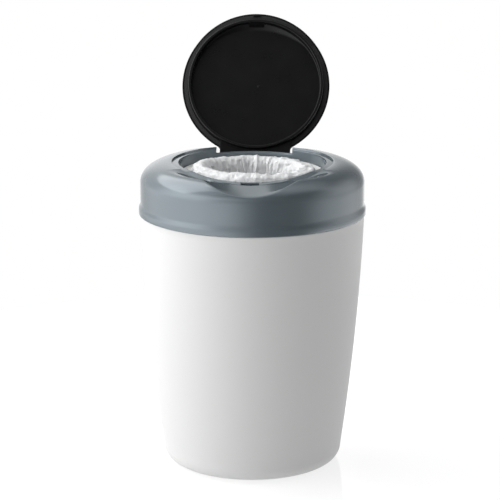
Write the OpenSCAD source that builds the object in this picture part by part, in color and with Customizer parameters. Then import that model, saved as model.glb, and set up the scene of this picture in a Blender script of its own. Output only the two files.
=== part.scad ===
// Nappy bin with a lift-off head, a flip lid and a drop-in film cassette.
// Millimetres, +Z up, origin at the centre of the tub's base, front towards -Y.
// The lid is drawn closed and then swung back to its open stop.

/* [Tub] */
// Height of the tub up to the head's lower edge
tub_h = 300; // [260:5:360]
// Outer radius at the base, before its corner is rounded
tub_base_r = 103; // [95:1:110]
// How far the side bulges out past a straight cone at mid height
tub_bulge = 4; // [0:0.5:6]
// Wall thickness of the tub
tub_wall = 2.5; // [2:0.1:3.5]
// Radius of the rounded corner at the base
tub_corner_r = 18; // [10:1:24]
// Height of the stepped-in neck that the head slides over
neck_h = 22; // [16:1:26]

/* [Head collar] */
// Outer radius of the collar's upright wall
collar_r = 131; // [126:1:160]
// How far the lower lip flares out past the wall
lip_flare = 2; // [1:0.5:3]
// Height of the collar from its lower edge to the crown of the shoulder
collar_h = 60.5; // [54:0.5:75]
// Wall thickness of the collar
collar_wall = 2.4; // [2:0.1:3]
// Drop of the rounded shoulder from its crown to the upright wall
shoulder_drop = 24; // [18:1:28]
// Roundness of the shoulder, 2 is an ellipse and more is squarer
shoulder_power = 2.17; // [2:0.05:2.6]
// Radius of the round opening over the cassette
opening_r = 86; // [70:0.5:104]
// Width of the flat ledge round the opening that the lid closes on
ledge_w = 8; // [6:0.5:10]
// Depth of the ledge below the crown of the shoulder
ledge_drop = 1.2; // [0.8:0.1:2]
// How much lower the ledge is at the very front
front_dip = 5.9; // [4:0.1:7]
// Slope of the dipped front, degrees
front_tilt = 10.5; // [8:0.5:12]
// Radius of the hollow finger scoop across the front
scoop_r = 150; // [120:5:220]
// How far the finger scoop runs in behind the opening's front edge
scoop_run = 25; // [15:1:40]

/* [Latch] */
// Width of the slot that takes the lid's hook
slot_w = 20; // [16:1:24]
// Depth of the slot, front to back
slot_d = 6.5; // [6:0.5:8]
// Width of the hook under the lid's front edge
hook_w = 10; // [8:1:14]
// Thickness of the hook
hook_t = 2.6; // [2:0.1:3]

/* [Lid] */
// How much larger the lid's radius is than the opening's
lid_lap = 4; // [3:0.1:5]
// How far the centre of the lid sits in front of the centre of the opening
lid_offset = 3; // [2:0.1:3.4]
// How much smaller the plug rib's radius is than the opening's
rib_gap = 3.7; // [3.7:0.1:6]
// Thickness of the plug rib
rib_t = 3.5; // [2.5:0.1:4]
// How far the plug rib reaches below the ledge
rib_reach = 10.3; // [8:0.1:11]
// Thickness of the lid at its edge
lid_edge_t = 2.4; // [2:0.1:4]
// Rise of the lid's crown from its edge to its centre
lid_crown = 1.6; // [1:0.1:5]
// Width of the tab at the back that carries the hinge arms
tab_w = 85.4; // [70:0.1:90]
// Width of each hinge arm
arm_w = 14.7; // [10:0.1:16]
// Opening angle of the lid, degrees
lid_swing = 117.4; // [95:0.1:118]

/* [Hinge] */
// Distance of the hinge axis behind the edge of the opening
hinge_back = 7; // [6.5:0.5:9]
// Depth of the hinge axis below the ledge
hinge_drop = 14.3; // [13:0.1:15]
// Radius of the steel hinge pins
pin_r = 2; // [1.5:0.1:2.5]
// Radius of the hinge knuckles
knuckle_r = 6.5; // [5:0.1:7]

/* [Cassette] */
// Gap between the refill cassette and the wall of its well
cassette_gap = 2; // [1:0.1:3]
// Radius of the bore through the cassette
cassette_bore_r = 57.5; // [48:0.5:69]
// Height of the cassette
cassette_h = 75; // [50:1:80]
// Depth of the cassette's top below the ledge
cassette_sink = 11.8; // [11.5:0.1:16]
// Wall thickness of the cassette
cassette_wall = 1.6; // [1.2:0.1:2]
// Height of the film's crest above the cassette's top
film_crest = 8; // [5:0.5:9]
// Depth of the film tube below the cassette, down to its knot
film_hang = 65; // [40:5:90]

/* [Clearances] */
// Gap between faces that slide or rest on each other
seat_gap = 0.3; // [0.2:0.1:0.5]
// Radial gap between the tub's neck and the collar's wall
neck_gap = 0.4; // [0.3:0.1:0.8]
// Radial running clearance of pins and screws
run_gap = 0.05; // [0.03:0.01:0.08]

/* [Hidden] */
$fn = 120;
fine = 360;
eps = 0.01;
far = 600;
arc_steps = 14;
side_steps = 30;
round_steps = 6;

// Head levels
crown_z = tub_h + collar_h;
ledge_z = crown_z - ledge_drop;
front_z = ledge_z - front_dip;
ledge_r = opening_r + ledge_w;
shoulder_z = crown_z - shoulder_drop;
wall_in_r = collar_r - collar_wall;
lip_r = collar_r + lip_flare;
lip_h = 6;
flare_h = 8;
lip_top_z = tub_h + lip_h;
flare_top_z = lip_top_z + flare_h;
well_wall_r = opening_r + collar_wall;

// Tub
tub_top_r = collar_r + 0.1;
neck_root = 8;
neck_ramp = 4;
neck_r = wall_in_r - neck_gap;
neck_top_z = tub_h + neck_h - seat_gap;
tub_floor = tub_wall + 0.5;
foot_groove_inset = 6;
foot_groove_r = tub_base_r - tub_corner_r - foot_groove_inset;
foot_groove_w = 5;
foot_groove_d = 1;
seal_h = 3;
seal_w = 3.6;
shelf_z = neck_top_z + seat_gap + seal_h;
shelf_t = 2;
shelf_w = 8;

// Hinge pocket at the back of the collar
hinge_y = opening_r + hinge_back;
hinge_z = ledge_z - hinge_drop;
pocket_side = 2.8;
pocket_w = tab_w + 2 * pocket_side;
pocket_below = 1;
pocket_floor_z = hinge_z - knuckle_r - pocket_below;
notch_drop = 4.8;
notch_z = ledge_z - notch_drop;
pin_boss_r = 5;
pin_boss_l = 6;
pin_show = 0.6;
pin_l = pocket_side + arm_w + collar_wall + pin_boss_l + pin_show;
pin_x = tab_w / 2 - arm_w - pin_show;

// Latch
slot_setback = 2.5;
slot_y = -(opening_r + slot_setback);
catch_side = 4;
catch_w = slot_w + 2 * catch_side;
catch_t = 5;
catch_d = slot_d + 5;
catch_rib_t = 2;
catch_back = 4.6;
catch_rib_h = 9;
hook_reach = 4.5;
hook_inset = 1.5;
hook_root_h = 3;

// Lid, in its closed place
lid_gap = 0.4;
lid_z = ledge_z + lid_gap;
lid_y = -lid_offset;
lid_r = opening_r + lid_lap;
rib_r = opening_r - rib_gap;
rib_in_r = rib_r - rib_t;
rib_low_z = ledge_z - rib_reach;
lid_top_z = lid_z + lid_edge_t + lid_crown;
lid_round = 2.2;
brow_rise = 6.2;
hollow_setback = 7.3;
hollow_y = 26.2;
hollow_r = rib_in_r - hollow_setback + hollow_y;
hollow_slope = 1.6;
hook_pad_w = 21.6;
hook_pad_t = 3.8;
hook_pad_in_r = rib_in_r - hook_pad_t;
hook_clear = 12;
tab_t = 7;
tab_setback = 4.6;
tab_back_y = hinge_y - tab_setback;
tab_front_y = tab_back_y - 50;
lid_seal_inset = 0.9;
lid_seal_r = rib_r + lid_seal_inset;
lid_seal_w = 4.6;
lid_seal_t = 1.2;
lid_seal_proud = 0.2;

// Cassette well, the carrier fixed inside the collar
cassette_r = opening_r - cassette_gap;
cassette_top_z = ledge_z - cassette_sink;
cassette_low_z = cassette_top_z - cassette_h;
well_rise = 28;
well_top_z = tub_h + well_rise;
well_t = 2.2;
well_floor_z = cassette_low_z - seat_gap;
well_neck_lap = 4.5;
well_neck_r = cassette_bore_r + well_neck_lap;
well_neck_h = 18;
well_flange_w = 16;
well_flange_t = 2.5;
screw_setback = 11;
screw_ring_r = opening_r + screw_setback;
screw_count = 4;
screw_r = 1.75;
screw_head_r = 3.6;
screw_head_h = 2.2;
screw_l = 16;
screw_boss_r = 5;
screw_pilot_depth = 18;

// Film cutter under the front of the well's flange
cutter_w = 32;
cutter_d = 12;
cutter_h = 13;
cutter_slot_w = 3;
cutter_back = 2;
cutter_gap = 1.2;
cutter_y = -(well_wall_r + cutter_gap);
blade_w = 14;
blade_l = 9;
blade_t = 0.6;
blade_gap = 0.1;
blade_tilt = 45;
cutter_screw_x = 11.5;
cutter_screw_r = 1.2;
cutter_screw_head_r = 2.2;
cutter_boss_h = 6;
cutter_boss_r = 3.4;
cutter_screw_l = cutter_h + well_flange_t + 2;

// Film
film_t = 1;
film_gap = 0.3;
film_lap = 5.3;
film_clear = 1;
film_in_r = cassette_bore_r - film_gap - film_t;
film_out_r = min(cassette_bore_r + cassette_wall + film_lap, rib_in_r - lid_offset - film_clear);
film_mid_r = (film_in_r + film_out_r) / 2;
film_arch_r = (film_out_r - film_in_r) / 2;
film_arch_z = cassette_top_z + film_crest - film_arch_r;
cover_in_r = film_out_r + film_clear;
cover_t = 1.6;
cover_skirt_h = 4;
core_drop = 2.5;
core_top_z = cassette_top_z - core_drop;
pack_drop = 12;
pack_top_z = cassette_top_z - pack_drop;
film_low_z = cassette_low_z - 8;
knot_z = cassette_low_z - film_hang;
knot_r = 9;
throat_r = 35;
throat_h = 18;
tail_r = 13;
tail_h = 30;

// Outer radius of the tub's side at height z
function tub_r(z) = tub_base_r + (tub_top_r - tub_base_r) * z / tub_h
    + 4 * tub_bulge * (z / tub_h) * (1 - z / tub_h);

// Outline of the tub's side and rounded corner, set in by t, from the base to height top
function tub_side(t, top) = concat(
    [for (i = [0 : arc_steps])
        let (a = 90 * i / arc_steps - 90, c = tub_r(tub_corner_r) - tub_corner_r)
        [c + (tub_corner_r - t) * cos(a), tub_corner_r + (tub_corner_r - t) * sin(a)]],
    [for (i = [1 : side_steps])
        let (z = tub_corner_r + (top - tub_corner_r) * i / side_steps)
        [tub_r(z) - t, z]]);

// Rounded shoulder of the collar, set in by t, from its crown to the upright wall
function shoulder(t) = [for (i = [0 : arc_steps])
    let (a = 90 * i / arc_steps, w = collar_r - t - ledge_r, e = 2 / shoulder_power)
    [ledge_r + w * pow(sin(a), e), shoulder_z - t + shoulder_drop * pow(cos(a), e)]];

// Soft flare from the upright wall out to the lip
function flare() = [for (i = [0 : round_steps])
    let (k = i / round_steps)
    [collar_r + lip_flare * (1 - cos(180 * k)) / 2, flare_top_z + (lip_top_z - flare_top_z) * k]];

module ring(r_in, r_out, z, h) {
    rotate_extrude()
        translate([r_in, z])
            square([r_out - r_in, h]);
}

// Everything above the plane that dips to the front, raised by lift
module above_dip(lift) {
    translate([0, -opening_r, front_z + lift])
        rotate([front_tilt, 0, 0])
            translate([-far, -far, 0])
                cube([2 * far, 2 * far, far]);
}

// The round hollow of the finger scoop, grown by t
module scoop(t) {
    translate([0, -opening_r, front_z])
        rotate([front_tilt, 0, 0])
            translate([0, scoop_run, scoop_r])
                rotate([90, 0, 0])
                    cylinder(h = far, r = scoop_r + t, $fn = fine);
}

// The pocket behind the opening that the hinge arms swing in, grown by t
module hinge_pocket(t) {
    difference() {
        translate([-pocket_w / 2 - t, 0, pocket_floor_z - t])
            cube([pocket_w + 2 * t, far, far]);
        translate([0, 0, tub_h])
            cylinder(h = far, r = well_wall_r - t);
    }
}

// Everything taken out of the collar's top, grown by t
module collar_cuts(t) {
    intersection() {
        above_dip(-t);
        cylinder(h = far, r = ledge_r + t);
    }
    scoop(t);
    hinge_pocket(t);
}

module collar_block() {
    rotate_extrude()
        polygon(concat(
            [[opening_r, tub_h], [opening_r, ledge_z], [ledge_r, ledge_z]],
            shoulder(0), flare(), [[lip_r, tub_h]]));
}

module collar_hollow() {
    rotate_extrude()
        polygon(concat(
            [[0, tub_h - 1], [0, well_top_z], [well_wall_r, well_top_z],
             [well_wall_r, ledge_z - collar_wall], [ledge_r, ledge_z - collar_wall]],
            [for (p = shoulder(collar_wall)) if (p[0] > ledge_r) p],
            [[wall_in_r, tub_h - 1]]));
}

module at_well_screws() {
    for (i = [0 : screw_count - 1])
        rotate([0, 0, 360 / screw_count * (i + 0.5)])
            translate([screw_ring_r, 0, 0])
                children();
}

module at_cutter_screws() {
    for (side = [-1, 1])
        translate([side * cutter_screw_x, cutter_y - cutter_d / 2, 0])
            children();
}

module hinge_side(side, x) {
    translate([side * x, hinge_y, hinge_z])
        rotate([0, side * 90, 0])
            children();
}

module collar() {
    color([0.33, 0.38, 0.41])
        difference() {
            union() {
                difference() {
                    collar_block();
                    difference() {
                        collar_hollow();
                        collar_cuts(collar_wall);
                    }
                }
                ring(wall_in_r - shelf_w, wall_in_r + eps, shelf_z, shelf_t);
                intersection() {
                    collar_block();
                    union() {
                        at_well_screws()
                            translate([0, 0, well_top_z])
                                cylinder(h = far, r = screw_boss_r);
                        for (side = [-1, 1])
                            hinge_side(side, pocket_w / 2 + collar_wall - eps)
                                cylinder(h = pin_boss_l, r = pin_boss_r);
                        catch_ribs();
                    }
                }
            }
            collar_cuts(0);
            translate([-pocket_w / 2, 0, notch_z])
                cube([pocket_w, far, far]);
            translate([-slot_w / 2, slot_y - slot_d, shoulder_z])
                cube([slot_w, slot_d, far]);
            at_well_screws()
                translate([0, 0, well_top_z - eps])
                    cylinder(h = screw_pilot_depth, r = screw_r + run_gap);
            for (side = [-1, 1])
                hinge_side(side, pocket_w / 2 - eps)
                    cylinder(h = collar_wall + pin_boss_l + 2 * eps, r = pin_r + run_gap);
        }
}

// Two ribs under the scoop that hold the catch between them
module catch_ribs() {
    for (side = [-1, 1])
        in_dip()
            translate([side * (catch_w + catch_rib_t + 2 * eps) / 2, -catch_back - catch_d / 2, -catch_rib_h / 2])
                cube([catch_rib_t, catch_d, catch_rib_h], center = true);
}

// Places children on the dipped front, origin at the opening's front edge
module in_dip() {
    translate([0, -opening_r, front_z])
        rotate([front_tilt, 0, 0])
            children();
}

module latch_catch() {
    color([0.85, 0.86, 0.86])
        difference() {
            in_dip()
                translate([-catch_w / 2, -catch_back - catch_d, -collar_wall - catch_t - eps])
                    cube([catch_w, catch_d, catch_t]);
            translate([-slot_w / 2 - seat_gap, slot_y - slot_d - seat_gap, shoulder_z])
                cube([slot_w + 2 * seat_gap, slot_d + 2 * seat_gap, far]);
        }
}

module tub() {
    color([0.9, 0.9, 0.91])
        difference() {
            rotate_extrude()
                polygon(concat(
                    [[0, 0]], tub_side(0, tub_h - seat_gap),
                    [[neck_r, tub_h - seat_gap], [neck_r, neck_top_z],
                     [neck_r - tub_wall, neck_top_z], [neck_r - tub_wall, tub_h - neck_root]],
                    reverse([for (p = tub_side(tub_wall, tub_h - neck_root - neck_ramp)) if (p[1] > tub_floor) p]),
                    [[0, tub_floor]]));
            ring(foot_groove_r - foot_groove_w, foot_groove_r, -1, 1 + foot_groove_d);
        }
}

// The points of a list from last to first
function reverse(list) = [for (i = [len(list) - 1 : -1 : 0]) list[i]];

module tub_seal() {
    color([0.15, 0.15, 0.16])
        ring(neck_r - seal_w, neck_r, shelf_z - seal_h, seal_h);
}

module cassette_well() {
    color([0.33, 0.38, 0.41])
        difference() {
            union() {
                ring(opening_r, opening_r + well_t, well_floor_z - well_t, well_top_z - well_floor_z + well_t);
                ring(well_neck_r, opening_r + eps, well_floor_z - well_t, well_t);
                ring(well_neck_r, well_neck_r + well_t, well_floor_z - well_neck_h, well_neck_h);
                ring(opening_r + well_t - eps, opening_r + well_flange_w,
                     well_top_z - well_flange_t, well_flange_t);
                at_cutter_screws()
                    translate([0, 0, well_top_z - well_flange_t])
                        cylinder(h = well_flange_t + cutter_boss_h, r = cutter_boss_r);
            }
            at_well_screws()
                translate([0, 0, well_top_z - 2 * well_flange_t])
                    cylinder(h = 3 * well_flange_t, r = screw_r + seat_gap);
            at_cutter_screws()
                translate([0, 0, well_top_z - 2 * well_flange_t])
                    cylinder(h = well_flange_t + cutter_boss_h, r = cutter_screw_r + run_gap);
        }
}

// A pan-head screw pointing up, its head's upper face at the origin
module screw(r, head_r, head_h, l) {
    cylinder(h = l, r = r);
    translate([0, 0, -head_h])
        difference() {
            cylinder(h = head_h, r = head_r);
            translate([0, 0, -eps])
                for (a = [0, 90])
                    rotate([0, 0, a])
                        translate([-head_r / 2, -r / 4, 0])
                            cube([head_r, r / 2, head_h / 2]);
        }
}

module well_screws() {
    color([0.7, 0.71, 0.72])
        at_well_screws()
            translate([0, 0, well_top_z - well_flange_t - eps])
                screw(screw_r, screw_head_r, screw_head_h, screw_l);
}

module film_cutter_guard() {
    color([0.85, 0.86, 0.86])
        difference() {
            translate([-cutter_w / 2, cutter_y - cutter_d, well_top_z - well_flange_t - cutter_h])
                cube([cutter_w, cutter_d, cutter_h]);
            translate([-cutter_slot_w / 2, cutter_y - cutter_d - 1, well_top_z - far])
                cube([cutter_slot_w, cutter_d - cutter_back, far]);
            blade_plate(blade_gap);
            at_cutter_screws()
                translate([0, 0, well_top_z - far])
                    cylinder(h = far, r = cutter_screw_r + run_gap);
        }
}

// The blade's slanting plate, grown by t
module blade_plate(t) {
    translate([0, cutter_y - cutter_d / 2, well_top_z - well_flange_t - cutter_h / 2])
        rotate([blade_tilt, 0, 0])
            cube([blade_w + 2 * t, blade_l + 2 * t, blade_t + 2 * t], center = true);
}

module film_cutter_blade() {
    color([0.78, 0.79, 0.8])
        blade_plate(0);
}

module cutter_screws() {
    color([0.7, 0.71, 0.72])
        at_cutter_screws()
            translate([0, 0, well_top_z - well_flange_t - cutter_h - eps])
                screw(cutter_screw_r, cutter_screw_head_r, cutter_screw_r, cutter_screw_l);
}

module hinge_pin(side) {
    color([0.75, 0.76, 0.78])
        hinge_side(side, pin_x)
            cylinder(h = pin_l, r = pin_r);
}

// Swings a closed lid piece back to the open stop
module swung() {
    translate([0, hinge_y, hinge_z])
        rotate([-lid_swing, 0, 0])
            translate([0, -hinge_y, -hinge_z])
                children();
}

// Everything under the lid's rim face, which is level and then dips to the front
module below_rim(lift) {
    difference() {
        translate([-far, -far, lid_z + lift - far])
            cube([2 * far, 2 * far, far]);
        above_dip(lid_gap + lift);
    }
}

module lid_shell() {
    difference() {
        translate([0, lid_y, 0])
            rotate_extrude()
                polygon(concat(
                    [[0, rib_low_z], [lid_r, rib_low_z]],
                    [for (i = [0 : round_steps])
                        let (a = 90 * i / round_steps)
                        [lid_r - lid_round * (1 - cos(a)), lid_z + lid_edge_t - lid_round * (1 - sin(a))]],
                    [for (i = [1 : arc_steps])
                        let (r = (lid_r - lid_round) * (1 - i / arc_steps))
                        [r, lid_top_z - lid_crown * pow(r / (lid_r - lid_round), 2)]]));
        below_rim(0);
        above_dip(brow_rise + lid_gap);
        lid_hollow();
    }
}

// The flat inner face of the lid, with its sloping front
module lid_hollow() {
    translate([0, lid_y, 0])
        intersection() {
            translate([0, 0, rib_low_z - 1])
                cylinder(h = lid_z - rib_low_z + 1, r = rib_in_r);
            translate([0, hollow_y, rib_low_z - 1])
                cylinder(h = lid_z - rib_low_z + 1, $fn = fine,
                         r1 = hollow_r + hollow_slope * (lid_z - rib_low_z + 1), r2 = hollow_r);
        }
}

module hinge_arm_outline() {
    translate([hinge_y, hinge_z])
        circle(r = knuckle_r);
    polygon([[tab_back_y, lid_z + 1], [hinge_y + knuckle_r - 0.5, hinge_z + 2.5], [hinge_y, hinge_z],
             [hinge_y - knuckle_r + 0.1, hinge_z + 1], [tab_back_y - 2.4, lid_z - 4.2]]);
}

module lid() {
    color([0.05, 0.05, 0.055])
        swung()
            difference() {
                union() {
                    lid_shell();
                    translate([0, lid_y, 0])
                        ring(rib_in_r, rib_r, rib_low_z, lid_z - rib_low_z + 1);
                    hook();
                    hinge_tab();
                    for (side = [-1, 1])
                        translate([side > 0 ? tab_w / 2 - arm_w : -tab_w / 2, 0, 0])
                            rotate([90, 0, 90])
                                linear_extrude(arm_w)
                                    hinge_arm_outline();
                }
                lid_seal_band(0);
                for (side = [-1, 1])
                    hinge_side(side, pin_x - 2)
                        cylinder(h = far, r = pin_r + run_gap);
            }
}

// The plate behind the lid that joins it to the hinge arms
module hinge_tab() {
    difference() {
        translate([-tab_w / 2, tab_front_y, lid_z + lid_edge_t - tab_t])
            cube([tab_w, tab_back_y - tab_front_y, tab_t]);
        translate([0, lid_y, 0])
            cylinder(h = far, r = rib_in_r + 1);
    }
}

// The latch hook and the pad that stiffens the plug rib beside it
module hook() {
    difference() {
        union() {
            intersection() {
                translate([-hook_pad_w / 2, lid_y - rib_r, rib_low_z])
                    cube([hook_pad_w, rib_r - hook_pad_in_r, lid_z - rib_low_z + 1]);
                translate([0, lid_y, 0])
                    cylinder(h = far, r = rib_r);
            }
            translate([-hook_w / 2, slot_y - hook_inset - hook_t, front_z - hook_reach])
                cube([hook_w, hook_t, hook_reach + hook_root_h]);
        }
        translate([0, lid_y, lid_z])
            cylinder(h = far, r = lid_r - hook_clear);
        above_dip(brow_rise);
    }
}

// Band of the lid's seal, which follows the rim face, grown outwards by t
module lid_seal_band(t) {
    intersection() {
        translate([0, lid_y, 0])
            ring(lid_seal_r - t, lid_seal_r + lid_seal_w + t, hinge_z, lid_top_z - hinge_z);
        difference() {
            below_rim(lid_seal_t - lid_seal_proud);
            below_rim(-lid_seal_proud);
        }
    }
}

module lid_seal() {
    color([0.1, 0.1, 0.1])
        swung()
            lid_seal_band(-run_gap);
}

module cassette_body() {
    color([0.93, 0.93, 0.92]) {
        ring(cassette_bore_r, cassette_r, cassette_low_z, cassette_wall);
        ring(cassette_r - cassette_wall, cassette_r, cassette_low_z, cassette_h - cover_t);
        ring(cassette_bore_r, cassette_bore_r + cassette_wall, cassette_low_z, core_top_z - cassette_low_z);
    }
}

module cassette_cover() {
    color([0.93, 0.93, 0.92]) {
        ring(cover_in_r, cassette_r, cassette_top_z - cover_t, cover_t);
        ring(cassette_r - 2 * cassette_wall - seat_gap, cassette_r - cassette_wall - seat_gap,
             cassette_top_z - cover_t - cover_skirt_h, cover_skirt_h + eps);
    }
}

module film_pack() {
    color([0.88, 0.88, 0.88])
        ring(cassette_bore_r + cassette_wall + seat_gap, cassette_r - cassette_wall - seat_gap,
             cassette_low_z + cassette_wall + seat_gap, pack_top_z - cassette_low_z - cassette_wall);
}

module film_sleeve() {
    color([0.95, 0.95, 0.95]) {
        rotate_extrude()
            intersection() {
                translate([film_mid_r, film_arch_z])
                    difference() {
                        circle(r = film_arch_r);
                        circle(r = film_arch_r - film_t);
                    }
                translate([0, film_arch_z])
                    square([far, far]);
            }
        ring(film_out_r - film_t, film_out_r, pack_top_z + 2 * seat_gap, film_arch_z - pack_top_z - 2 * seat_gap);
        ring(film_in_r, film_in_r + film_t, film_low_z, film_arch_z - film_low_z);
        rotate_extrude()
            polygon([[film_in_r, film_low_z], [film_in_r + film_t, film_low_z],
                     [throat_r, knot_z + throat_h], [knot_r, knot_z + 2], [knot_r, knot_z - 5],
                     [knot_r / 2, knot_z - 10], [tail_r, knot_z - tail_h], [0, knot_z - tail_h],
                     [0, knot_z + 2 + film_t], [throat_r - film_t, knot_z + throat_h + 1.4 * film_t]]);
    }
}

tub();
collar();
tub_seal();
cassette_well();
well_screws();
latch_catch();
film_cutter_guard();
film_cutter_blade();
cutter_screws();
hinge_pin(-1);  // hinge_pin_left
hinge_pin(1);  // hinge_pin_right
lid();
lid_seal();
cassette_body();
cassette_cover();
film_pack();
film_sleeve();
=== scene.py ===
# %% [markdown]
# # A nappy bin, built piece by piece
# The bin is a tall white tub, a slate grey head that lifts off it, a black lid that flips back on
# two pins, and a ring cassette whose film hangs down inside as one long bag. The frame that is
# loaded first holds every hard piece at its real size. This lesson finishes each one: some keep
# their shape and get a better material, and others are built again with rounds, blends and folds.

# %% Load the frame
import bpy
import bmesh
import numpy as np
from math import atan2, cos, degrees, pi, radians, sin, sqrt, tan
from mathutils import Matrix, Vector, noise


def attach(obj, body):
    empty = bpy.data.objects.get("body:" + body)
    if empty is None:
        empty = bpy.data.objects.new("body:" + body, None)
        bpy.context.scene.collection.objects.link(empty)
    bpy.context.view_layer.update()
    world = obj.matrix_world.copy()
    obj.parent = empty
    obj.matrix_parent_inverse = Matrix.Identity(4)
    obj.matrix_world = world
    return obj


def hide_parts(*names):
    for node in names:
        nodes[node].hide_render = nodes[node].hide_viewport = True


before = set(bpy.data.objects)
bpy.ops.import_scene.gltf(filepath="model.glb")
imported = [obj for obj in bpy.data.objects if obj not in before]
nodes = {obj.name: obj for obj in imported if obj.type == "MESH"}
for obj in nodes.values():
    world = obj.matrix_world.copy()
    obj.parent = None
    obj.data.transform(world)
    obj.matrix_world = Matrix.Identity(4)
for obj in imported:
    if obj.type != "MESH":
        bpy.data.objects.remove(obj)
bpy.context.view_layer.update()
print("nodes in the frame:", len(nodes))

# %% [markdown]
# ## The camera
# A long lens far from the bin keeps the tub's sides almost parallel. A step back of 2.6 m and a lens
# of 164 mm give that look. The camera stands a little above the lid and looks down by 14 degrees.

# %% Camera
SENSOR_MM = 36
LENS_MM = 163.8
CAMERA_BACK = 2.6
CAMERA_UP = 0.894
CAMERA_ROUND = radians(1.6)
LOOK_DOWN = radians(13.84)
LOOK_LEFT = radians(0.063)

lens = bpy.data.cameras.new("long_lens")
lens.sensor_width = SENSOR_MM
lens.lens = LENS_MM
lens.clip_start = 0.1
lens.clip_end = 30
camera = bpy.data.objects.new("camera", lens)
camera.location = (CAMERA_BACK * sin(CAMERA_ROUND), -CAMERA_BACK * cos(CAMERA_ROUND), CAMERA_UP)
camera.rotation_euler = (pi / 2 - LOOK_DOWN, 0, CAMERA_ROUND + LOOK_LEFT)
bpy.context.scene.collection.objects.link(camera)
bpy.context.scene.camera = camera
print("camera at", [round(v, 3) for v in camera.location])

# %% [markdown]
# ## Small tools
# A node tree is quicker to read when each node is one line, so one helper adds a node, sets it up
# and joins its links, and a second one does the same for sums. Colours are written as the hex values
# of a paint card. The shader works in linear light, so one function turns a hex value into linear
# numbers.

# %% Node and colour helpers
def add(tree, kind, into=None, sockets=None, **settings):
    """One node: its settings, its input values or links, and the socket that its first output feeds."""
    node = tree.nodes.new(kind)
    for name, value in settings.items():
        setattr(node, name, value)
    for name, value in (sockets or {}).items():
        if isinstance(value, bpy.types.NodeSocket):
            tree.links.new(value, node.inputs[name])
        else:
            node.inputs[name].default_value = value
    if into is not None:
        tree.links.new(node.outputs[0], into)
    return node


def calc(tree, operation, *values):
    """A Math node on numbers or sockets, as its output socket."""
    return add(tree, "ShaderNodeMath", operation=operation, sockets=dict(enumerate(values))).outputs[0]


def linear(hex_value, alpha=1.0):
    """An sRGB hex colour such as "#EDEDEE" as linear red, green, blue and alpha."""
    parts = [int(hex_value[i:i + 2], 16) / 255 for i in (1, 3, 5)]
    return tuple(p / 12.92 if p <= 0.04045 else ((p + 0.055) / 1.055) ** 2.4 for p in parts) + (alpha,)


MM = 0.001

# %% [markdown]
# A moulded plastic is a principled shader with three things on top. Colour drifts very slightly over
# a large piece. The mould's own finish gives a fine bump. Handling leaves the gloss a little uneven.
# These three are the same for each plastic here, with sizes and strengths of its own.

# %% Moulded plastic
CLOUD_MM = 90
SMEAR_MM = 25


def moulded(name, colour, roughness, ior=1.49, grain_mm=0.6, grain=0.05, drift=0.03, uneven=0.06,
            shine=0.5, sheen="#FFFFFF"):
    """A moulded plastic: its colour, gloss, mould grain in millimetres and how uneven each is."""
    material = bpy.data.materials.new(name)
    material.use_nodes = True
    tree = material.node_tree
    shader = tree.nodes["Principled BSDF"]
    shader.inputs["IOR"].default_value = ior
    shader.inputs["Specular IOR Level"].default_value = shine
    shader.inputs["Specular Tint"].default_value = linear(sheen)
    place = add(tree, "ShaderNodeTexCoord").outputs["Object"]
    cloudy = add(tree, "ShaderNodeTexNoise",
                 sockets={"Vector": place, "Scale": 1 / (CLOUD_MM * MM), "Detail": 2.0})
    base = linear(colour)
    dark = tuple(c * (1 - drift) for c in base[:3]) + (1,)
    light = tuple(min(1, c * (1 + drift)) for c in base[:3]) + (1,)
    mix = add(tree, "ShaderNodeMix", data_type="RGBA", sockets={0: cloudy.outputs["Fac"], 6: dark, 7: light})
    tree.links.new(mix.outputs[2], shader.inputs["Base Color"])
    smear = add(tree, "ShaderNodeTexNoise",
                sockets={"Vector": place, "Scale": 1 / (SMEAR_MM * MM), "Detail": 4.0})
    add(tree, "ShaderNodeMapRange", shader.inputs["Roughness"],
        {"Value": smear.outputs["Fac"], "From Min": 0.3, "From Max": 0.7,
         "To Min": roughness * (1 - uneven), "To Max": roughness * (1 + uneven)})
    fine = add(tree, "ShaderNodeTexNoise",
               sockets={"Vector": place, "Scale": 1 / (grain_mm * MM), "Detail": 1.0})
    add(tree, "ShaderNodeBump", shader.inputs["Normal"],
        {"Height": fine.outputs["Fac"], "Strength": grain, "Distance": 0.05 * MM})
    print("material", name, "colour", colour, "roughness", roughness)
    return material


# %% [markdown]
# The tub is white polypropylene with the satin surface of a blasted mould, so lights on it blur into
# broad soft bands. The head is ABS in slate grey from a polished mould. Its highlights are crisp.
# The lid is the same plastic in black, and its inner face has a finely blasted texture.

# %% Plastic finishes
satin_white = moulded("polypropylene_satin_white", "#C3C3C3", 0.48, 1.45, 0.7, 0.10, 0.006, 0.05, 0.2)
slate_gloss = moulded("abs_gloss_slate_grey", "#515A5F", 0.15, 1.53, 1.2, 0.03, 0.008, 0.05, 0.86, "#EDF7FF")
black_gloss = moulded("abs_gloss_black", "#0B0B0C", 0.3, 1.53, 0.8, 0.12, 0.05, 0.12, 0.22)
matt_white = moulded("polypropylene_matt_white", "#E4E4E2", 0.5, 1.49, 0.6, 0.15, 0.015, 0.08)
natural_acetal = moulded("acetal_natural", "#D9DAD6", 0.4, 1.48, 0.6, 0.08, 0.02, 0.08)
black_rubber = moulded("rubber_moulded_black", "#161617", 0.65, 1.52, 0.5, 0.3, 0.06, 0.1)

# %% [markdown]
# The pins, the screws and the blade are plain steel. Drawn and ground steel has fine lines along one
# way, so its gloss is streaked by a noise that is stretched along the piece.

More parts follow.
